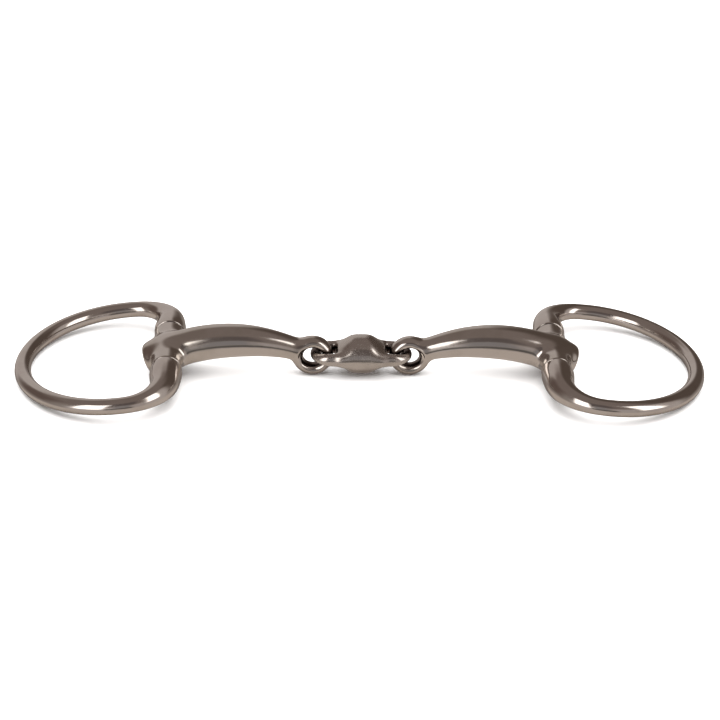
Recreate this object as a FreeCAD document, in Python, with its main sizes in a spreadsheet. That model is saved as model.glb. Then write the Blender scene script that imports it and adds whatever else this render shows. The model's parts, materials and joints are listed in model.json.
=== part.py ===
import FreeCAD, Part
import math
import os

import Sketcher

# A double-jointed eggbutt snaffle bit, lying flat as on a table.
# Frame: +X along the mouthpiece to the right, +Y along the hinge pins, +Z up, the table at Z = 0.
# The right half is modelled and the left half is its mirror image across the YZ plane.
# A cheek is drawn flat first: its hinge axis on Y and its ring spreading towards +X.

Vec = FreeCAD.Vector
X_AXIS = Vec(1, 0, 0)
Y_AXIS = Vec(0, 1, 0)
Z_AXIS = Vec(0, 0, 1)

DIMENSIONS = {
    # hinge between cannon and cheek ring
    "hinge_x": 72.5,
    "hinge_z": 8.75,
    "pin_radius": 2.5,
    "pin_clearance": 0.05,
    "sleeve_radius": 5.65,
    "sleeve_half": 13.8,
    "seam_gap": 0.2,
    "rim_round": 0.35,
    # cheek ring: straight shoulders, small corner arcs, one large bow
    "bar_radius": 3.05,
    "shoulder_radius": 6.15,
    "taper_length": 34.0,
    "taper_power": 1.4,
    "corner_radius": 15.0,
    "bow_radius": 37.4,
    "bow_centre": 17.3,
    "ring_droop": 5.95,
    # centre link
    "link_z": 8.5,
    "link_bar_radius": 1.75,
    "link_side_height": 2.55,
    "link_tip_x": 17.3,
    "link_side_y": 5.2,
    "lozenge_half": 9.3,
    "lozenge_width": 7.45,
    "lozenge_height": 7.4,
    "lozenge_swell": 5.8,
    # cannon: an arched tapered bar with an eye at its inner end and a blunt lip past the hinge
    "eye_x": 18.25,
    "eye_z": 7.9,
    "eye_ring_radius": 5.65,
    "eye_bar_depth": 2.1,
    "eye_bar_width": 3.0,
    "arch_radius": 68.5,
    "root_radius": 4.4,
    "neck_radius": 4.6,
    "quarter_radius": 5.45,
    "middle_radius": 6.4,
    "outer_radius": 6.75,
    "hinge_radius": 6.6,
    "lip_length": 8.7,
    "lip_lean": 16.0,
    "lip_radius": 5.5,
    "lip_round": 3.0,
}

doc = FreeCAD.newDocument("snaffle_bit")
sheet = doc.addObject("Spreadsheet::Sheet", "Dims")
for row, (alias, value) in enumerate(DIMENSIONS.items(), start=1):
    sheet.set(f"A{row}", alias)
    sheet.set(f"B{row}", str(value))
    sheet.setAlias(f"B{row}", alias)
doc.recompute()


def dim(alias):
    return f"Dims.{alias}"


def bind(obj, **expressions):
    """Binds properties of obj to expressions; a double underscore stands for a dot."""
    for name, expression in expressions.items():
        obj.setExpression(name.replace("__", "."), expression)
    return obj


def add(kind, name, **expressions):
    return bind(doc.addObject(kind, name), **expressions)


# ---------------------------------------------------------------- cheek ring

CORNER_V = (f"sqrt(pow({dim('bow_radius')} - {dim('corner_radius')}; 2)"
            f" - pow({dim('bow_centre')} - {dim('corner_radius')}; 2))")
SEAM_V = f"({dim('sleeve_half')} + {dim('seam_gap')})"
CORNER_TURN = math.degrees(math.acos(
    (sheet.bow_centre - sheet.corner_radius) / (sheet.bow_radius - sheet.corner_radius)))
# where the ring's sections stand, as shares of each stretch of its centreline
SHOULDER_STEPS = (0.0, 0.5, 1.0)
CORNER_STEPS = (0.2, 0.4, 0.6, 0.8, 1.0)
BOW_STEPS = (0.2, 0.4, 0.6, 0.8, 1.0)


def tapered(run):
    """The bar's radius at a distance along the ring from the seam."""
    fall = f"pow((1 + cos(180 deg * ({run}) / {dim('taper_length')})) / 2; {dim('taper_power')})"
    return f"{dim('bar_radius')} + ({dim('shoulder_radius')} - {dim('bar_radius')}) * {fall}"


def shoulder_station(step):
    run = f"({CORNER_V} - {SEAM_V}) * {step}"
    return "0", f"{SEAM_V} + {run}", 0.0, tapered(run)


def corner_station(step):
    turn = CORNER_TURN * step
    radius = dim("corner_radius")
    u = f"{radius} * (1 - cos({turn} deg))"
    v = f"{CORNER_V} + {radius} * sin({turn} deg)"
    run = f"{CORNER_V} - {SEAM_V} + {radius} * {math.radians(turn)}"
    return u, v, turn, tapered(run)


def bow_station(step):
    turn = CORNER_TURN + (180.0 - CORNER_TURN) * step
    radius = dim("bow_radius")
    u = f"{dim('bow_centre')} - {radius} * cos({turn} deg)"
    v = f"{radius} * sin({turn} deg)"
    return u, v, turn, dim("bar_radius")


def ring_stations():
    """Sections from the far shoulder's face round the bow to the near shoulder's: u, v, heading, radius."""
    half = [shoulder_station(s) for s in SHOULDER_STEPS]
    half += [corner_station(s) for s in CORNER_STEPS]
    half += [bow_station(s) for s in BOW_STEPS]
    back = [(u, f"-({v})", 360.0 - turn, radius) for u, v, turn, radius in reversed(half[:-1])]
    return half + back


def origin_plane(body, role):
    return next(f for f in body.Origin.OriginFeatures if f.Role == role)


def ring_section(body, number, station):
    """A circle square to the ring's centreline. XZ_Plane's normal is -Y, so v is set with a minus sign."""
    u, v, turn, radius = station
    sketch = body.newObject("Sketcher::SketchObject", f"ring_section_{number}")
    sketch.AttachmentSupport = [(origin_plane(body, "XZ_Plane"), "")]
    sketch.MapMode = "FlatFace"
    sketch.AttachmentOffset = FreeCAD.Placement(Vec(0, 0, 0), FreeCAD.Rotation(Y_AXIS, -turn))
    bind(sketch, AttachmentOffset__Base__x=u, AttachmentOffset__Base__z=f"-({v})")
    circle = sketch.addGeometry(Part.Circle(Vec(0, 0, 0), Z_AXIS, 1.0))
    sketch.addConstraint(Sketcher.Constraint("Coincident", circle, 3, -1, 1))
    sketch.addConstraint(Sketcher.Constraint("Radius", circle, 1.0))
    sketch.renameConstraint(1, "bar_radius")
    bind(sketch, Constraints__bar_radius=radius)
    return sketch


def make_ring_blank():
    """The ring before its pin holes are drilled."""
    body = doc.addObject("PartDesign::Body", "ring_blank")
    sections = [ring_section(body, k, s) for k, s in enumerate(ring_stations())]
    doc.recompute()
    loft = body.newObject("PartDesign::AdditiveLoft", "ring_bar")
    loft.Profile = sections[0]
    loft.Sections = [(s, [""]) for s in sections[1:]]
    doc.recompute()
    return body


def on_hinge_axis(cylinder, half_length):
    """Lays a Part::Cylinder along Y, centred on the flat cheek's hinge axis."""
    cylinder.Placement = FreeCAD.Placement(Vec(0, 0, 0), FreeCAD.Rotation(X_AXIS, -90))
    bind(cylinder, Height=f"2 * ({half_length})", Placement__Base__y=f"-({half_length})")
    return cylinder


def droop(obj):
    """Moves a flat cheek piece to its place: the hinge axis in X and Z, the bow down on the table."""
    obj.Placement = FreeCAD.Placement(Vec(0, 0, 0), FreeCAD.Rotation(Y_AXIS, 1.0))
    bind(obj, Placement__Base__x=dim("hinge_x"), Placement__Base__z=dim("hinge_z"))
    bind(obj, Placement__Rotation__Angle=dim("ring_droop"))
    return obj


def make_cheek():
    blank = make_ring_blank()
    reach = f"{dim('bow_radius')} + {dim('bar_radius')}"
    rod = on_hinge_axis(add("Part::Cylinder", "pin_rod", Radius=dim("pin_radius")), reach)
    core = on_hinge_axis(add("Part::Cylinder", "pin_core", Radius=dim("pin_radius")), SEAM_V)
    core_span = add("Part::Fuse", "pin_span")
    core_span.Base = blank
    core_span.Tool = core
    pin = add("Part::Common", "right_hinge_pin")
    pin.Base = rod
    pin.Tool = core_span
    ring = add("Part::Cut", "right_cheek_ring")
    ring.Base = blank
    ring.Tool = rod
    return droop(ring), droop(pin)


# ---------------------------------------------------------------- cannon

def arch_centre():
    """Centre of the arch that passes over the eye's centre and the hinge axis, as expressions."""
    ex, ez, hx, hz = (dim(a) for a in ("eye_x", "eye_z", "hinge_x", "hinge_z"))
    span = f"sqrt(pow({hx} - {ex}; 2) + pow({hz} - {ez}; 2))"
    drop = f"sqrt(pow({dim('arch_radius')}; 2) - pow({span} / 2; 2))"
    cx = f"(({ex} + {hx}) / 2 + {drop} * ({hz} - {ez}) / {span})"
    cz = f"(({ez} + {hz}) / 2 - {drop} * ({hx} - {ex}) / {span})"
    return cx, cz


def arch_angles():
    """The arch's lean at the eye and at the hinge, in degrees from the vertical."""
    span = math.hypot(sheet.hinge_x - sheet.eye_x, sheet.hinge_z - sheet.eye_z)
    half = math.degrees(math.asin(span / 2 / sheet.arch_radius))
    tilt = math.degrees(math.atan2(sheet.hinge_z - sheet.eye_z, sheet.hinge_x - sheet.eye_x))
    return -half - tilt, half - tilt


# Stations along the arch, 0 at the eye's centre and 1 at the hinge axis, with the bar's half sizes there.
CANNON_STATIONS = (
    (0.10, "root_radius", "eye_bar_width"),
    (0.17, "neck_radius", "neck_radius"),
    (0.33, "quarter_radius", "quarter_radius"),
    (0.55, "middle_radius", "middle_radius"),
    (0.78, "outer_radius", "outer_radius"),
    (1.00, "hinge_radius", "hinge_radius"),
)

# keeps an ellipse's major radius above its minor one where the bar is round
ROUND_MARGIN = 0.001


def bar_section(name, x, z, lean, tall, wide):
    """An ellipse square to a bar that leans down towards +X: tall within the XZ plane, wide along Y."""
    ellipse = add("Part::Ellipse", name, MajorRadius=f"max({tall}; {wide}) + {ROUND_MARGIN}",
                  MinorRadius=f"min({tall}; {wide})")
    upright = FreeCAD.Rotation(Y_AXIS, lean).multiply(FreeCAD.Rotation(Y_AXIS, -90))
    ellipse.Placement = FreeCAD.Placement(Vec(0, 0, 0), upright)
    return bind(ellipse, Placement__Base__x=x, Placement__Base__z=z)


def cannon_section(number, along, tall, wide):
    cx, cz = arch_centre()
    at_eye, at_hinge = arch_angles()
    lean = at_eye + (at_hinge - at_eye) * along
    x = f"{cx} + {dim('arch_radius')} * sin({lean} deg)"
    z = f"{cz} + {dim('arch_radius')} * cos({lean} deg)"
    return bar_section(f"cannon_section_{number}", x, z, lean, dim(tall), dim(wide))


def lip_section():
    """The bar's blunt end past the hinge."""
    x = f"{dim('hinge_x')} + {dim('lip_length')} * cos({dim('lip_lean')})"
    z = f"{dim('hinge_z')} - {dim('lip_length')} * sin({dim('lip_lean')})"
    return bar_section("lip_section", x, z, sheet.lip_lean, dim("lip_radius"), dim("lip_radius"))


def make_loft(name, sections):
    loft = add("Part::Loft", name)
    loft.Sections = sections
    loft.Solid = True
    loft.Ruled = False
    return loft


def make_eye():
    """A closed ring of oval bar whose hole runs along Y."""
    bar = add("Part::Ellipse", "eye_bar", MajorRadius=dim("eye_bar_width"),
              MinorRadius=dim("eye_bar_depth"))
    bar.Placement = FreeCAD.Placement(Vec(0, 0, 0), FreeCAD.Rotation(Z_AXIS, 90))
    bind(bar, Placement__Base__x=f"{dim('eye_x')} + {dim('eye_ring_radius')}")
    bind(bar, Placement__Base__z=dim("eye_z"))
    eye = add("Part::Revolution", "eye_ring")
    eye.Source = bar
    eye.Axis = Y_AXIS
    eye.Angle = 360
    eye.Solid = True
    bind(eye, Base__x=dim("eye_x"), Base__z=dim("eye_z"))
    return eye


def hinge_cylinder(name, radius, half_length):
    cylinder = on_hinge_axis(add("Part::Cylinder", name, Radius=radius), half_length)
    return bind(cylinder, Placement__Base__x=dim("hinge_x"), Placement__Base__z=dim("hinge_z"))


def make_cannon():
    sections = [cannon_section(k, *s) for k, s in enumerate(CANNON_STATIONS)]
    bar = make_loft("cannon_bar", sections + [lip_section()])
    doc.recompute()
    end = max(range(len(bar.Shape.Edges)), key=lambda k: bar.Shape.Edges[k].CenterOfMass.x)
    lip = add("Part::Fillet", "cannon_lip")
    lip.Base = bar
    lip.Edges = [(end + 1, sheet.lip_round, sheet.lip_round)]
    sleeve = hinge_cylinder("hinge_sleeve", dim("sleeve_radius"), dim("sleeve_half"))
    doc.recompute()
    sleeve_rims = [k for k, e in enumerate(sleeve.Shape.Edges, start=1)
                   if e.Curve.TypeId == "Part::GeomCircle"]
    rims = add("Part::Fillet", "sleeve_rims")
    rims.Base = sleeve
    rims.Edges = [(k, sheet.rim_round, sheet.rim_round) for k in sleeve_rims]
    casting = add("Part::MultiFuse", "cannon_casting")
    casting.Shapes = [lip, make_eye(), rims]
    bore = hinge_cylinder("sleeve_bore", f"{dim('pin_radius')} + {dim('pin_clearance')}", SEAM_V)
    cannon = add("Part::Cut", "right_cannon")
    cannon.Base = casting
    cannon.Tool = bore
    return cannon


# ---------------------------------------------------------------- centre link

# Sections of the lozenge along X, as shares of its half length.
LOZENGE_SHARES = (-1.0, -0.84, -0.69, -0.54, -0.35, 0.0, 0.35, 0.54, 0.69, 0.84, 1.0)


def lozenge_section(number, share):
    """An oval across the link: constant width along Y, bell-shaped height along Z."""
    swell = f"1 / (1 + pow({dim('lozenge_half')} * {abs(share)} / {dim('lozenge_swell')}; 6))"
    height = (f"{dim('link_side_height')}"
              f" + ({dim('lozenge_height')} - {dim('link_side_height')}) * {swell}")
    ellipse = add("Part::Ellipse", f"lozenge_section_{number}",
                  MajorRadius=dim("lozenge_width"), MinorRadius=height)
    # the ellipse's own X runs along Y and its own Y along Z
    ellipse.Placement = FreeCAD.Placement(Vec(0, 0, 0), FreeCAD.Rotation(Vec(1, 1, 1), 120))
    bind(ellipse, Placement__Base__x=f"{dim('lozenge_half')} * {share}")
    bind(ellipse, Placement__Base__z=dim("link_z"))
    return ellipse


# Sections of a side bar along X: share of the run to the eye's centre, then shares of its height and
# thickness. The small ends are buried in the round bars of the two eyes.
SIDE_BAR_SECTIONS = (
    (-1.1, 0.5, 0.6),
    (-0.75, 1.0, 0.97),
    (-0.25, 1.0, 0.97),
    (0.25, 1.0, 0.97),
    (0.75, 1.0, 0.97),
    (1.1, 0.5, 0.6),
)


def side_bar_section(name, side, share, tall, thick):
    """An upright oval beside the lozenge."""
    ellipse = add("Part::Ellipse", name, MajorRadius=f"{dim('link_side_height')} * {tall}",
                  MinorRadius=f"{dim('link_bar_radius')} * {thick}")
    # the ellipse's own X runs along Z and its own Y along Y
    ellipse.Placement = FreeCAD.Placement(Vec(0, 0, 0), FreeCAD.Rotation(Y_AXIS, -90))
    bind(ellipse, Placement__Base__x=f"({dim('link_tip_x')} - {dim('link_side_y')}) * {share}")
    bind(ellipse, Placement__Base__y=f"{side} * {dim('link_side_y')}")
    bind(ellipse, Placement__Base__z=dim("link_z"))
    return ellipse


def make_side_bar(name, side):
    sections = [side_bar_section(f"{name}_{k}", side, *s) for k, s in enumerate(SIDE_BAR_SECTIONS)]
    return make_loft(name, sections)


def make_link_eye(name, side):
    """A round ring whose hole runs along Z; the lozenge's end closes part of the hole."""
    torus = add("Part::Torus", name, Radius1=dim("link_side_y"), Radius2=dim("link_bar_radius"))
    bind(torus, Placement__Base__x=f"{side} * ({dim('link_tip_x')} - {dim('link_side_y')})")
    bind(torus, Placement__Base__z=dim("link_z"))
    return torus


def make_link():
    sections = [lozenge_section(k, s) for k, s in enumerate(LOZENGE_SHARES)]
    link = add("Part::MultiFuse", "centre_link")
    link.Shapes = [
        make_loft("lozenge", sections),
        make_side_bar("near_side_bar", -1),
        make_side_bar("far_side_bar", 1),
        make_link_eye("left_link_eye", -1),
        make_link_eye("right_link_eye", 1),
    ]
    return link


# ---------------------------------------------------------------- assembly and export

def mirrored(source, label):
    """The left-hand twin of a right-hand piece, across the YZ plane."""
    twin = doc.addObject("Part::Mirroring", label)
    twin.Source = source
    twin.Normal = X_AXIS
    twin.Label = label
    return twin


def check(parts):
    """Stops before anything is written if an object failed or a part's shape is unusable."""
    failed = [o.Name for o in doc.Objects if {"Invalid", "Error"} & set(o.State)]
    if failed:
        raise RuntimeError(f"objects that failed to recompute: {failed}")
    for part in parts:
        if part.Shape.isNull() or not part.Shape.isValid() or len(part.Shape.Solids) != 1:
            raise RuntimeError(f"{part.Label} is not one valid solid")


def main():
    ring, pin = make_cheek()
    right_parts = [ring, pin, make_cannon()]
    parts = [make_link()] + right_parts
    for part in right_parts:
        parts.append(mirrored(part, part.Name.replace("right", "left")))
    doc.recompute()
    check(parts)
    os.makedirs("parts", exist_ok=True)
    for part in parts:
        part.Shape.exportStep(f"parts/{part.Label}.step")
        print(part.Label, round(part.Shape.Volume, 1))


main()
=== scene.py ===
import json
import math

import bpy
import numpy as np
from mathutils import Matrix, Vector


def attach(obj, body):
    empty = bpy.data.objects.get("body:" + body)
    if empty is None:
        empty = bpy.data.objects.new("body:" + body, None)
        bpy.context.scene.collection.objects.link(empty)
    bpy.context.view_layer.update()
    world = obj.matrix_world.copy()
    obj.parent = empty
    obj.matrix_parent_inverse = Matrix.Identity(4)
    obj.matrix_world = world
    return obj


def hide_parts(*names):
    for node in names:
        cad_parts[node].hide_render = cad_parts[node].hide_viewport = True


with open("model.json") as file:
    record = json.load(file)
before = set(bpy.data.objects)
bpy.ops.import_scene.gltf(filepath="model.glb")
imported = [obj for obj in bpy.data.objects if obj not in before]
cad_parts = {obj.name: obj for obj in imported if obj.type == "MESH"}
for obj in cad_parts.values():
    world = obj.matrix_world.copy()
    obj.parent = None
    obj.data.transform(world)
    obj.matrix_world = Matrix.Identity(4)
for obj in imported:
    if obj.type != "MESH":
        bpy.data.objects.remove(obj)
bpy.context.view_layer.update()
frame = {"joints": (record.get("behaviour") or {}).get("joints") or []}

# Shapes are worked out in millimetres in the frame's axes, for the right-hand half of the bit.
# The left-hand pieces are their mirror images in X.
MM = 0.001
joints = {j["name"]: j for j in frame["joints"]}
HINGE_X, _, HINGE_Z = (p / MM for p in joints["right_cheek_swing"]["pos_m"])
FOLD_X, _, FOLD_Z = (p / MM for p in joints["right_fold"]["pos_m"])

# hinge; the pin's ends lie PIN_INSET under the ring's skin, and _AROUND is a count of points round a bar
PIN_RADIUS = 2.5
PIN_INSET = 0.15
PIN_AROUND = 64
PIN_CAP_SHARES = (0.0, 0.35, 0.65, 0.85, 0.97, 1.0)
BORE_CLEARANCE = 0.05
BORE_EDGE = 0.2
SLEEVE_RADIUS = 5.75
SLEEVE_HALF = 13.7
SEAM_GAP = 0.3
RIM = 0.45

# cheek ring: a straight shoulder, a corner and a bow on each side; the seat is where the pin goes in
BAR_RADIUS = 3.05
SHOULDER_RADIUS = 6.15
SEAM_RADIUS = 5.85
TAPER_LENGTH = 34.0
TAPER_POWER = 1.4
SEAT_REACH = 2.2
SEAT_DEPTH = 3.0
SEAT_CLEARANCE = 0.03
SEAT_EDGE = 0.05
RIM_STEPS = 6
RING_STEP = 0.6
RING_AROUND = 96
CORNER_RADIUS = 15.0
BOW_RADIUS = 37.4
BOW_CENTRE = 17.3
RING_DROOP = math.radians(5.95)
SEAM_V = SLEEVE_HALF + SEAM_GAP
CORNER_V = math.sqrt((BOW_RADIUS - CORNER_RADIUS) ** 2 - (BOW_CENTRE - CORNER_RADIUS) ** 2)
CORNER_TURN = math.acos((BOW_CENTRE - CORNER_RADIUS) / (BOW_RADIUS - CORNER_RADIUS))
SHOULDER_RUN = CORNER_V - SEAM_V
CORNER_RUN = SHOULDER_RUN + CORNER_RADIUS * CORNER_TURN
HALF_RUN = CORNER_RUN + BOW_RADIUS * (math.pi - CORNER_TURN)

# cannon
EYE_X = 18.25
EYE_Z = 7.9
EYE_RING_RADIUS = 5.65
EYE_DEPTH = 2.1
EYE_WIDTH = 3.05
ARCH_RADIUS = 68.5
LIP_LENGTH = 8.8
LIP_ROUND = 4.0
NECK_START = EYE_RING_RADIUS + 0.2
NECK_LEAST_X = EYE_X + 2.0
NECK_ROUND = 1.0
EYE_FILLET = 3.0
SLEEVE_FILLET = 5.0
ARCH_SPAN = math.hypot(HINGE_X - EYE_X, HINGE_Z - EYE_Z)
ARCH_DROP = math.sqrt(ARCH_RADIUS**2 - (ARCH_SPAN / 2) ** 2)
ARCH_X = (EYE_X + HINGE_X) / 2 + ARCH_DROP * (HINGE_Z - EYE_Z) / ARCH_SPAN
ARCH_Z = (EYE_Z + HINGE_Z) / 2 - ARCH_DROP * (HINGE_X - EYE_X) / ARCH_SPAN
EYE_LEAN = math.atan2(EYE_X - ARCH_X, EYE_Z - ARCH_Z)
HINGE_LEAN = math.atan2(HINGE_X - ARCH_X, HINGE_Z - ARCH_Z)
ARCH_RUN = (HINGE_LEAN - EYE_LEAN) * ARCH_RADIUS
# the bar's radius at shares of the way from the eye's centre to the hinge
CANNON_RADII = {0.08: 4.3, 0.2: 4.65, 0.33: 5.35, 0.44: 6.0, 0.55: 6.38, 0.66: 6.5, 0.78: 6.65,
                0.9: 6.7, 1.0: 6.55, 1.15: 6.1}
# past these shares the radius stays as it is there
CANNON_SHARES_USED = (0.06, 1.2)
CANNON_CURVE_DEGREE = 6
# the space that each grid covers, in x, y and z
CANNON_BOX = ((9.0, 84.0), (-SLEEVE_HALF - 0.6, SLEEVE_HALF + 0.6), (-1.0, 22.5))

# centre link
LINK_BAR = 1.85
LINK_SIDE_TALL = 2.55
LINK_SIDE_Y = 5.2
LINK_EYE_X = FOLD_X - LINK_SIDE_Y
LOZENGE_HALF = 9.3
LOZENGE_WIDE = 7.45
LOZENGE_TALL = 7.4
LOZENGE_SWELL = 6.5
SWELL_POWER = 4
LOZENGE_END_ROUND = 3.5
LOZENGE_FILLET = 2.2
SIDE_GROWTH = 7.0
LINK_BOX = ((-19.5, 19.5), (-8.5, 8.5), (0.0, 17.0))

FINE = 0.36
LINK_FINE = FINE * 0.85


# ---------------------------------------------------------------- fields: distance-like, below zero inside

def smooth_min(a, b, size):
    """The lower of two fields, with a curvature-continuous fillet of about that size."""
    near = np.maximum(size - np.abs(a - b), 0.0) / size
    return np.minimum(a, b) - near**3 * size / 6.0


def smooth_max(a, b, size):
    return -smooth_min(-a, -b, size)


def oval(p, q, half_p, half_q):
    """Close to the distance from an ellipse, and zero on it."""
    k0 = np.hypot(p / half_p, q / half_q)
    k1 = np.hypot(p / half_p**2, q / half_q**2)
    return k0 * (k0 - 1.0) / np.maximum(k1, 1e-6)


def smooth_step(x, low, high):
    t = np.clip((x - low) / (high - low), 0.0, 1.0)
    return t * t * t * (t * (t * 6.0 - 15.0) + 10.0)


cannon_radius = np.polynomial.Polynomial.fit(
    list(CANNON_RADII), list(CANNON_RADII.values()), CANNON_CURVE_DEGREE)


def arch_coordinates(x, z):
    """Run along the arch from the eye's centre, and height over its line; it is straight past the hinge."""
    lean = np.arctan2(x - ARCH_X, z - ARCH_Z)
    run = (lean - EYE_LEAN) * ARCH_RADIUS
    over = np.hypot(x - ARCH_X, z - ARCH_Z) - ARCH_RADIUS
    dx, dz = x - HINGE_X, z - HINGE_Z
    past = dx * math.cos(HINGE_LEAN) - dz * math.sin(HINGE_LEAN)
    run_past = ARCH_RUN + past
    over_past = dx * math.sin(HINGE_LEAN) + dz * math.cos(HINGE_LEAN)
    return np.where(past > 0, run_past, run), np.where(past > 0, over_past, over)


def cannon_field(x, y, z):
    """The right-hand cannon: arched bar with its lip, upright eye, hinge sleeve and the pin's bore."""
    run, over = arch_coordinates(x, z)
    radius = cannon_radius(np.clip(run / ARCH_RUN, *CANNON_SHARES_USED))
    bar = np.hypot(over, y) - radius
    bar = smooth_max(bar, run - ARCH_RUN - LIP_LENGTH, LIP_ROUND)
    from_eye = np.hypot(x - EYE_X, z - EYE_Z)
    bar = smooth_max(bar, NECK_START - from_eye, NECK_ROUND)
    bar = smooth_max(bar, NECK_LEAST_X - x, NECK_ROUND)
    eye = oval(from_eye - EYE_RING_RADIUS, y, EYE_DEPTH, EYE_WIDTH)
    axle = np.hypot(x - HINGE_X, z - HINGE_Z)
    sleeve = smooth_max(axle - SLEEVE_RADIUS, np.abs(y) - SLEEVE_HALF, RIM * 2)
    casting = smooth_min(smooth_min(bar, sleeve, SLEEVE_FILLET), eye, EYE_FILLET)
    bore = PIN_RADIUS + BORE_CLEARANCE - axle
    return smooth_max(casting, bore, BORE_EDGE)


def link_field(x, y, z):
    """The centre link: the lozenge boss between two flat eyes that share their side bars."""
    z = z - FOLD_Z
    across = np.abs(x)
    swell = 1.0 / (1.0 + (across / LOZENGE_SWELL) ** SWELL_POWER)
    tall = LINK_SIDE_TALL + (LOZENGE_TALL - LINK_SIDE_TALL) * swell
    lozenge = smooth_max(oval(y, z, LOZENGE_WIDE, tall), across - LOZENGE_HALF, LOZENGE_END_ROUND)
    from_path = np.hypot(np.maximum(across - LINK_EYE_X, 0.0), y) - LINK_SIDE_Y
    side_tall = LINK_BAR + (LINK_SIDE_TALL - LINK_BAR) * smooth_step(FOLD_X - across, 0.0, SIDE_GROWTH)
    loop = oval(from_path, z, LINK_BAR, side_tall)
    return smooth_min(lozenge, loop, LOZENGE_FILLET)


# ---------------------------------------------------------------- meshes

def cell_vertices(values, axes):
    """One vertex for each cell that the zero surface crosses, at the mean of its edges' crossings."""
    shape = tuple(n - 1 for n in values.shape)
    total = np.zeros(shape + (3,))
    count = np.zeros(shape)
    grids = np.meshgrid(*axes, indexing="ij")
    for axis in range(3):
        low = [slice(None)] * 3
        high = [slice(None)] * 3
        low[axis] = slice(None, -1)
        high[axis] = slice(1, None)
        a, b = values[tuple(low)], values[tuple(high)]
        crossed = (a < 0) != (b < 0)
        share = np.where(crossed, a / np.where(crossed, a - b, 1.0), 0.0)
        others = [k for k in range(3) if k != axis]
        point = [g[tuple(low)] for g in grids]
        point[axis] = point[axis] + share * (grids[axis][tuple(high)] - point[axis])
        for i in (0, 1):
            for j in (0, 1):
                cut = [slice(None)] * 3
                cut[others[0]] = slice(i, shape[others[0]] + i)
                cut[others[1]] = slice(j, shape[others[1]] + j)
                cut = tuple(cut)
                hit = crossed[cut]
                count += hit
                for k in range(3):
                    total[..., k] += np.where(hit, point[k][cut], 0.0)
    used = count > 0
    index = np.full(shape, -1)
    index[used] = np.arange(used.sum())
    return total[used] / count[used][:, None], index


def cell_quads(values, index):
    """A quad round each grid edge that the zero surface crosses, wound to face outwards."""
    quads = []
    for axis in range(3):
        u, v = (axis + 1) % 3, (axis + 2) % 3
        low = [slice(1, -1)] * 3
        high = [slice(1, -1)] * 3
        low[axis] = slice(None, -1)
        high[axis] = slice(1, None)
        a, b = values[tuple(low)], values[tuple(high)]
        where = np.argwhere((a < 0) != (b < 0))
        leaving = a[tuple(where.T)] < 0
        cell = where.copy()
        cell[:, u] += 1
        cell[:, v] += 1
        corners = []
        for du, dv in ((-1, -1), (0, -1), (0, 0), (-1, 0)):
            shifted = cell.copy()
            shifted[:, u] += du
            shifted[:, v] += dv
            corners.append(index[tuple(shifted.T)])
        ring = np.stack(corners, 1)
        ring[~leaving] = ring[~leaving][:, ::-1]
        quads.append(ring)
    return np.concatenate(quads)


def gradient(field, points, reach=0.02):
    """The field's slope at each point, by central differences."""
    slopes = []
    for axis in range(3):
        step = np.zeros(3)
        step[axis] = reach
        slopes.append(field(*(points + step).T) - field(*(points - step).T))
    return np.stack(slopes, 1) / (2 * reach)


SLIDE_SHARE = 0.6
LONGEST_STEP = 0.2
LEAST_SLOPE = 0.25
EXACT_ROUNDS = 3


def settle(field, points, quads, rounds=4):
    """Evens the vertices out along the surface, then brings them exactly onto it."""
    ends = np.concatenate([quads[:, [k, (k + 1) % 4]] for k in range(4)])
    neighbours = np.bincount(ends.ravel(), minlength=len(points))[:, None]
    for lap in range(rounds + EXACT_ROUNDS):
        slope = gradient(field, points)
        steep = np.sum(slope**2, 1, keepdims=True)
        if lap < rounds:
            total = np.zeros_like(points)
            np.add.at(total, ends[:, 0], points[ends[:, 1]])
            np.add.at(total, ends[:, 1], points[ends[:, 0]])
            shift = total / neighbours - points
            shift -= slope * np.sum(shift * slope, 1, keepdims=True) / np.maximum(steep, 1e-9)
            points = points + SLIDE_SHARE * shift
        off = field(*points.T)[:, None] / np.maximum(steep, LEAST_SLOPE)
        points = points - np.clip(off, -LONGEST_STEP, LONGEST_STEP) * slope
    return points


def grid_axis(low, high, step):
    return np.linspace(low, high, int(math.ceil((high - low) / step)) + 1)


def polygonise(field, axes):
    values = field(*np.meshgrid(*axes, indexing="ij"))
    points, index = cell_vertices(values, axes)
    quads = cell_quads(values, index)
    return settle(field, points, quads), quads


def make_piece(name, points, faces, body, node, side=1):
    """A mesh piece from millimetre points, mirrored in X when side is -1, that stands for a CAD node."""
    points = np.array(points, float) * MM
    points[:, 0] *= side
    faces = [tuple(int(i) for i in (f if side > 0 else f[::-1])) for f in faces]
    mesh = bpy.data.meshes.new(name)
    mesh.from_pydata([tuple(p) for p in points], [], faces)
    mesh.validate()
    mesh.shade_smooth()
    piece = bpy.data.objects.new(name, mesh)
    bpy.context.scene.collection.objects.link(piece)
    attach(piece, body)
    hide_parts(node)
    return piece


# ---------------------------------------------------------------- cheek ring and pin

def ring_path(run):
    """Place and heading of the ring's centreline, at a run from the seam of up to half the ring.

    The flat ring's own axes are u out from the hinge, v along the pin and w up.
    """
    if run <= SHOULDER_RUN:
        return 0.0, SEAM_V + run, 0.0
    if run <= CORNER_RUN:
        turn = (run - SHOULDER_RUN) / CORNER_RADIUS
        return CORNER_RADIUS * (1 - math.cos(turn)), CORNER_V + CORNER_RADIUS * math.sin(turn), turn
    turn = CORNER_TURN + (run - CORNER_RUN) / BOW_RADIUS
    return BOW_CENTRE - BOW_RADIUS * math.cos(turn), BOW_RADIUS * math.sin(turn), turn


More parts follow.
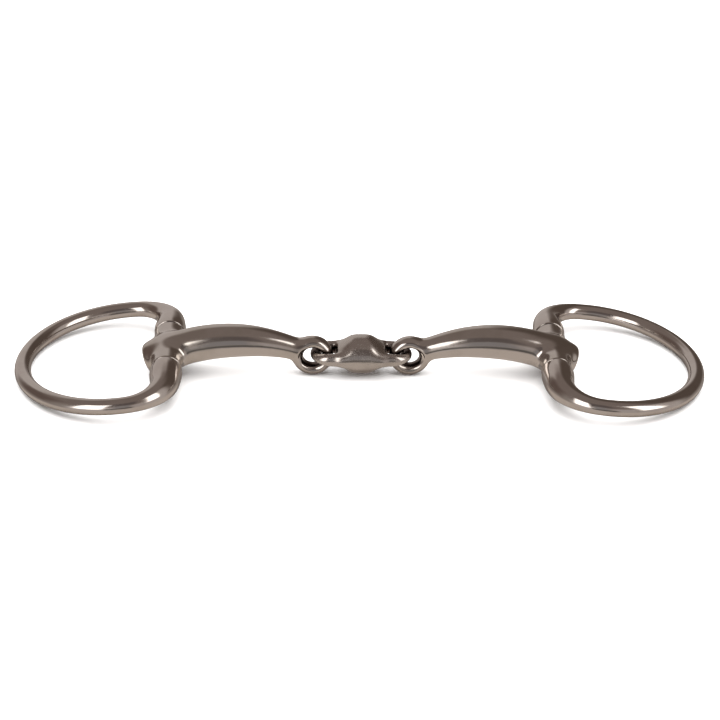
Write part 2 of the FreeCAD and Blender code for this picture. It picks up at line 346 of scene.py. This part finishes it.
def ring_radius(run):
    fall = ((1 + math.cos(math.pi * min(run / TAPER_LENGTH, 1.0))) / 2) ** TAPER_POWER
    seat = SEAM_RADIUS - SHOULDER_RADIUS
    return BAR_RADIUS + (SHOULDER_RADIUS - BAR_RADIUS) * fall + seat * math.exp(-((run / SEAT_REACH) ** 2))


def cheek_place(u, v, w):
    """From the flat ring's own axes to the frame: the bow droops to the table."""
    c, s = math.cos(RING_DROOP), math.sin(RING_DROOP)
    return np.stack([HINGE_X + u * c + w * s, v + 0 * u, HINGE_Z - u * s + w * c], -1)


def ring_rows():
    """Rows of the ring's skin from inside the pin's seat, over the shoulder's rim, to the bow's middle."""
    seat = PIN_RADIUS + SEAT_CLEARANCE
    rows = [(SEAT_DEPTH, seat), (SEAT_EDGE, seat), (0.0, seat + SEAT_EDGE)]
    rows.append((0.0, ring_radius(0.0) - RIM - SEAT_EDGE))
    for k in range(RIM_STEPS + 1):
        angle = math.pi / 2 * k / RIM_STEPS
        rows.append((RIM * (1 - math.cos(angle)), ring_radius(RIM) - RIM + RIM * math.sin(angle)))
    steps = int((HALF_RUN - RIM) / RING_STEP)
    for k in range(1, steps + 1):
        run = RIM + (HALF_RUN - RIM) * k / steps
        rows.append((run, ring_radius(run)))
    return rows


def make_ring(side, name):
    around = RING_AROUND
    angles = np.linspace(0, 2 * math.pi, around, endpoint=False)
    half = []
    for run, radius in ring_rows():
        u, v, turn = ring_path(run)
        out_u, out_v = -math.cos(turn), math.sin(turn)
        half.append((u + out_u * radius * np.cos(angles), v + out_v * radius * np.cos(angles),
                     radius * np.sin(angles)))
    rows = half + [(u, -v, w) for u, v, w in half[-2::-1]]
    points = np.concatenate([cheek_place(*row) for row in rows])
    faces = []
    for r in range(len(rows) - 1):
        for k in range(around):
            n = (k + 1) % around
            faces.append((r * around + k, (r + 1) * around + k, (r + 1) * around + n, r * around + n))
    last = (len(rows) - 1) * around
    faces.append(tuple(range(around)))
    faces.append(tuple(last + k for k in reversed(range(around))))
    return make_piece(f"{name}_cheek_ring_steel", points, faces, f"{name}_cheek", f"{name}_cheek_ring",
                      side)


def outer_v(u, w):
    """How far out the corner's skin lies over a point (u, w) near the hinge axis, found by halving."""
    low, high = CORNER_V, CORNER_V + 2 * CORNER_RADIUS
    for _ in range(40):
        v = (low + high) / 2
        turn = math.atan2(v - CORNER_V, CORNER_RADIUS - u)
        run = SHOULDER_RUN + CORNER_RADIUS * turn
        off = math.hypot(u - CORNER_RADIUS, v - CORNER_V) - CORNER_RADIUS
        inside = math.hypot(off, w) < ring_radius(run)
        low, high = (v, high) if inside else (low, v)
    return low


def make_pin(side, name):
    """The pin, with both ends shaped to the ring's outer skin and polished away just under it."""
    around = PIN_AROUND
    rows = []
    for share in PIN_CAP_SHARES:
        row = []
        for k in range(around):
            angle = 2 * math.pi * k / around
            u = PIN_RADIUS * share * math.cos(angle)
            w = PIN_RADIUS * share * math.sin(angle)
            row.append((u, outer_v(u, w) - PIN_INSET, w))
        rows.append(np.array(row).T)
    mirrored = [np.stack([r[0], -r[1], r[2]]) for r in reversed(rows)]
    rows = rows[1:] + mirrored[:-1]
    points = np.concatenate([cheek_place(*row) for row in rows])
    reach = outer_v(0.0, 0.0) - PIN_INSET
    top = cheek_place(0.0, reach, 0.0)
    bottom = cheek_place(0.0, -reach, 0.0)
    points = np.concatenate([points, [top], [bottom]])
    faces = []
    for r in range(len(rows) - 1):
        for k in range(around):
            n = (k + 1) % around
            faces.append((r * around + k, r * around + n, (r + 1) * around + n, (r + 1) * around + k))
    first, second = len(points) - 2, len(points) - 1
    last = (len(rows) - 1) * around
    for k in range(around):
        n = (k + 1) % around
        faces.append((first, n, k))
        faces.append((second, last + k, last + n))
    return make_piece(f"{name}_hinge_pin_steel", points, faces, f"{name}_cheek", f"{name}_hinge_pin",
                      side)


# ---------------------------------------------------------------- assembly

def make_cannons():
    axes = tuple(grid_axis(low, high, FINE) for low, high in CANNON_BOX)
    points, quads = polygonise(cannon_field, axes)
    return [
        make_piece(f"{name}_cannon_steel", points, quads, f"{name}_arm", f"{name}_cannon",
                   side)
        for side, name in ((-1, "left"), (1, "right"))
    ]


def make_link():
    axes = tuple(grid_axis(low, high, LINK_FINE) for low, high in LINK_BOX)
    points, quads = polygonise(link_field, axes)
    return make_piece("centre_link_steel", points, quads, "link", "centre_link")


rings = [make_ring(side, name) for side, name in ((-1, "left"), (1, "right"))]
pins = [make_pin(side, name) for side, name in ((-1, "left"), (1, "right"))]
cannons = make_cannons()
link = make_link()


# ---------------------------------------------------------------- node helpers

def feed(tree, socket, value):
    """Sets an input to a value, or links it to another node's output."""
    if isinstance(value, bpy.types.NodeSocket):
        tree.links.new(value, socket)
    else:
        socket.default_value = value


def add_node(tree, kind, settings, inputs):
    node = tree.nodes.new(kind)
    for name, value in settings.items():
        setattr(node, name, value)
    for name, value in inputs.items():
        feed(tree, node.inputs[name], value)
    return node


def calculate(tree, operation, *values):
    return add_node(tree, "ShaderNodeMath", {"operation": operation}, dict(enumerate(values))).outputs[0]


def blend_step(tree, value, start, end, low=0.0, high=1.0):
    """Goes smoothly from low to high while the value goes from start to end."""
    inputs = {"Value": value, "From Min": start, "From Max": end, "To Min": low, "To Max": high}
    return add_node(tree, "ShaderNodeMapRange", {"interpolation_type": "SMOOTHSTEP"}, inputs).outputs[0]


def mix_colours(tree, factor, first, second):
    inputs = {"Factor": factor, 6: (*first, 1.0) if isinstance(first, tuple) else first,
              7: (*second, 1.0) if isinstance(second, tuple) else second}
    return add_node(tree, "ShaderNodeMix", {"data_type": "RGBA"}, inputs).outputs[2]


def noise(tree, coordinates, scale, detail):
    inputs = {"Vector": coordinates, "Scale": scale, "Detail": detail, "Roughness": 0.55}
    return add_node(tree, "ShaderNodeTexNoise", {}, inputs).outputs[0]


def stretched(tree, coordinates, scale):
    inputs = {"Vector": coordinates, "Scale": scale}
    return add_node(tree, "ShaderNodeMapping", {}, inputs).outputs[0]


# ---------------------------------------------------------------- materials

# noise scales are per metre; crevices within CREVICE_REACH millimetres are darkened with painted shade
CLOUD_SCALE = 90.0
WAVE_SCALE = 170.0
HAIR_SCALE = (260.0, 5200.0, 5200.0)
CROSS_HAIR_SCALE = (4700.0, 420.0, 4700.0)
CLOUD_EDGES = (0.42, 0.68)
SCRATCH_EDGES = (0.27, 0.42)
SCRATCH_DULLING = 0.5
SCRATCH_DEPTH = -0.004
CREVICE_REACH = 12.0
CREVICE_EDGES = (0.66, 0.3)
CREVICE_AMOUNT = 0.95
# painted shade: the dark colour that crevices, holes and undersides are mixed towards
PAINTED_SHADE_COLOUR = (0.08, 0.055, 0.048)


def make_steel(name, tint, dull_tint, roughness, waviness, scratching):
    """Polished steel: faintly uneven colour and gloss, polishing waves, hairline scratches, and painted shade
    that darkens crevices.
    """
    material = bpy.data.materials.new(name)
    material.use_nodes = True
    tree = material.node_tree
    shader = tree.nodes["Principled BSDF"]
    place = add_node(tree, "ShaderNodeTexCoord", {}, {}).outputs["Object"]
    cloud = noise(tree, place, CLOUD_SCALE, 4.0)
    patch = blend_step(tree, cloud, *CLOUD_EDGES)
    wave = noise(tree, place, WAVE_SCALE, 1.0)
    hairs = noise(tree, stretched(tree, place, HAIR_SCALE), 1.0, 2.0)
    cross_hairs = noise(tree, stretched(tree, place, CROSS_HAIR_SCALE), 1.0, 2.0)
    scratch = calculate(tree, "MULTIPLY", hairs, cross_hairs)
    scratch = blend_step(tree, scratch, *SCRATCH_EDGES)
    steel = mix_colours(tree, patch, tint, dull_tint)
    # painted shade: ambient occlusion darkens the base colour in crevices, holes and near the floor
    open_sky = add_node(tree, "ShaderNodeAmbientOcclusion", {"samples": 8},
                        {"Distance": CREVICE_REACH * MM}).outputs["AO"]
    crevice_painted_shade = blend_step(tree, open_sky, *CREVICE_EDGES, 0.0, CREVICE_AMOUNT)
    feed(tree, shader.inputs["Base Color"], mix_colours(tree, crevice_painted_shade, steel, PAINTED_SHADE_COLOUR))
    shader.inputs["Metallic"].default_value = 1.0
    gloss = blend_step(tree, cloud, 0.3, 0.75, roughness * 0.8, roughness * 1.3)
    scuffed = calculate(tree, "MULTIPLY_ADD", scratch, SCRATCH_DULLING * scratching, gloss)
    feed(tree, shader.inputs["Roughness"], scuffed)
    height = calculate(tree, "MULTIPLY_ADD", scratch, SCRATCH_DEPTH * scratching,
                       calculate(tree, "MULTIPLY", wave, waviness))
    bump = add_node(tree, "ShaderNodeBump", {}, {"Height": height, "Distance": MM, "Strength": 1.0})
    feed(tree, shader.inputs["Normal"], bump.outputs[0])
    return material


def dress(pieces, material):
    for piece in pieces:
        piece.data.materials.append(material)


dress(rings, make_steel("cheek_steel", (0.61, 0.57, 0.54), (0.57, 0.52, 0.49), 0.11, 0.05, 0.1))
dress(cannons, make_steel("mouthpiece_steel", (0.61, 0.57, 0.54), (0.56, 0.52, 0.48), 0.13, 0.06, 0.15))
dress([link], make_steel("link_steel", (0.58, 0.54, 0.51), (0.49, 0.45, 0.42), 0.19, 0.08, 0.6))
dress(pins, make_steel("pin_steel", (0.55, 0.51, 0.48), (0.50, 0.46, 0.43), 0.25, 0.05, 0.4))


# ---------------------------------------------------------------- stage, light and camera

FLOOR_REACH = 0.8
PALE = (0.9, 0.9, 0.9, 1.0)
BACKDROP = (1.0, 1.0, 1.0)


def make_floor():
    mesh = bpy.data.meshes.new("floor")
    reach = FLOOR_REACH
    mesh.from_pydata([(-reach, -reach, 0), (reach, -reach, 0), (reach, reach, 0), (-reach, reach, 0)], [],
                     [(0, 1, 2, 3)])
    floor = bpy.data.objects.new("floor", mesh)
    bpy.context.scene.collection.objects.link(floor)
    material = bpy.data.materials.new("pale_paper")
    material.use_nodes = True
    shader = material.node_tree.nodes["Principled BSDF"]
    shader.inputs["Base Color"].default_value = PALE
    shader.inputs["Roughness"].default_value = 0.9
    mesh.materials.append(material)
    floor.visible_glossy = False


def add_area_light(name, place, target, size, watts):
    data = bpy.data.lights.new(name, "AREA")
    data.shape = "RECTANGLE"
    data.size, data.size_y = size
    data.energy = watts
    lamp = bpy.data.objects.new(name, data)
    lamp.location = place
    lamp.rotation_euler = (Vector(target) - Vector(place)).to_track_quat("-Z", "Y").to_euler()
    lamp.visible_glossy = False
    bpy.context.scene.collection.objects.link(lamp)


# What the polished steel reflects: a warm dim studio, dark round the camera and at both sides, a pale
# table and back wall, and two soft windows at the front. Angles are in degrees, azimuth 0 towards the
# camera's side (-Y) and positive to the right.
TABLE = (0.60, 0.53, 0.47)
WALL = (0.33, 0.29, 0.265)
CEILING = (0.235, 0.192, 0.173)
TABLE_EDGE = (-30.0, -14.0)
CEILING_EDGE = (-8.0, 40.0)
# each: azimuth, half width, elevation, half height, softness, colour, amount
PATCHES = (
    (200.0, 29.0, 14.0, 29.0, 17.0, (0.55, 0.50, 0.47), 1.0),
    (180.0, 42.0, -32.0, 14.0, 16.0, (0.24, 0.21, 0.19), 1.0),
    (-102.0, 24.0, 16.0, 24.0, 26.0, (0.155, 0.115, 0.10), 1.0),
    (133.0, 36.0, 26.0, 30.0, 22.0, (0.115, 0.088, 0.073), 1.0),
    (25.0, 13.0, -3.0, 20.0, 14.0, (0.52, 0.47, 0.45), 0.8),
    (-30.0, 26.0, -8.0, 20.0, 16.0, (0.62, 0.57, 0.54), 0.9),
    (66.0, 26.0, 12.0, 40.0, 20.0, (0.56, 0.51, 0.48), 0.9),
    (0.0, 20.0, 38.0, 15.0, 12.0, (0.135, 0.112, 0.105), 1.0),
    (0.0, 10.0, 10.0, 14.0, 7.0, (0.28, 0.262, 0.262), 1.0),
    (0.0, 18.0, -13.0, 7.0, 5.0, (0.10, 0.092, 0.085), 0.9),
    (-35.0, 15.0, 18.0, 25.0, 8.0, (2.7, 2.6, 2.5), 1.0),
    (57.0, 13.0, 27.0, 26.0, 8.0, (2.7, 2.6, 2.5), 1.0),
)


def patch_mask(tree, azimuth, elevation, patch):
    """1 inside a patch of the studio and 0 outside, with soft edges; the azimuth wraps round the back."""
    at_azimuth, half_width, at_elevation, half_height, softness, _, amount = patch
    turn = calculate(tree, "SUBTRACT", azimuth, at_azimuth)
    turn = calculate(tree, "ABSOLUTE", calculate(tree, "WRAP", turn, 180.0, -180.0))
    rise = calculate(tree, "ABSOLUTE", calculate(tree, "SUBTRACT", elevation, at_elevation))
    across = blend_step(tree, turn, half_width + softness / 2, half_width - softness / 2)
    upright = blend_step(tree, rise, half_height + softness / 2, half_height - softness / 2)
    return calculate(tree, "MULTIPLY", calculate(tree, "MULTIPLY", across, upright), amount)


def make_world():
    """The studio that the steel reflects, behind a plain pale backdrop for the camera itself."""
    world = bpy.data.worlds.new("studio")
    bpy.context.scene.world = world
    world.use_nodes = True
    tree = world.node_tree
    direction = add_node(tree, "ShaderNodeTexCoord", {}, {}).outputs["Generated"]
    x, y, z = add_node(tree, "ShaderNodeSeparateXYZ", {}, {0: direction}).outputs
    azimuth = calculate(tree, "ARCTAN2", x, calculate(tree, "MULTIPLY", y, -1.0))
    azimuth = calculate(tree, "DEGREES", azimuth)
    elevation = calculate(tree, "DEGREES", calculate(tree, "ARCSINE", z))
    colour = mix_colours(tree, blend_step(tree, elevation, *TABLE_EDGE), TABLE, WALL)
    colour = mix_colours(tree, blend_step(tree, elevation, *CEILING_EDGE), colour, CEILING)
    for patch in PATCHES:
        colour = mix_colours(tree, patch_mask(tree, azimuth, elevation, patch), colour, patch[5])
    background = tree.nodes["Background"]
    seen = add_node(tree, "ShaderNodeLightPath", {}, {}).outputs["Is Camera Ray"]
    feed(tree, background.inputs["Color"], mix_colours(tree, seen, colour, BACKDROP))


# angles in degrees; lengths in metres, but the lens and sensor in millimetres
CAMERA_ELEVATION = 29.0
CAMERA_AZIMUTH = -2.17
CAMERA_ROLL = 1.32
CAMERA_DISTANCE = 0.801
CAMERA_TARGET = (-0.00038, 0.0, 0.00572)
LENS = 106.2
SENSOR = 36.0


def make_camera():
    """The viewpoint: a long lens from the front, half raised, a little to the left and slightly rolled."""
    elevation, azimuth, roll = (math.radians(a) for a in (CAMERA_ELEVATION, CAMERA_AZIMUTH, CAMERA_ROLL))
    back = Vector((math.sin(azimuth) * math.cos(elevation), -math.cos(azimuth) * math.cos(elevation),
                   math.sin(elevation)))
    right = Vector((math.cos(azimuth), math.sin(azimuth), 0.0))
    up = back.cross(right)
    rolled_right = right * math.cos(roll) + up * math.sin(roll)
    rolled_up = up * math.cos(roll) - right * math.sin(roll)
    data = bpy.data.cameras.new("camera")
    data.sensor_width = SENSOR
    data.lens = LENS
    camera = bpy.data.objects.new("camera", data)
    turn = Matrix((rolled_right, rolled_up, back)).transposed()
    camera.matrix_world = Matrix.Translation(Vector(CAMERA_TARGET) + back * CAMERA_DISTANCE) @ turn.to_4x4()
    bpy.context.scene.collection.objects.link(camera)
    bpy.context.scene.camera = camera


make_floor()
make_world()
add_area_light("overhead", place=(0.0, 0.0, 1.2), target=(0.0, 0.0, 0.0), size=(2.6, 2.4), watts=75.0)
make_camera()
bpy.context.scene.view_settings.view_transform = "Standard"
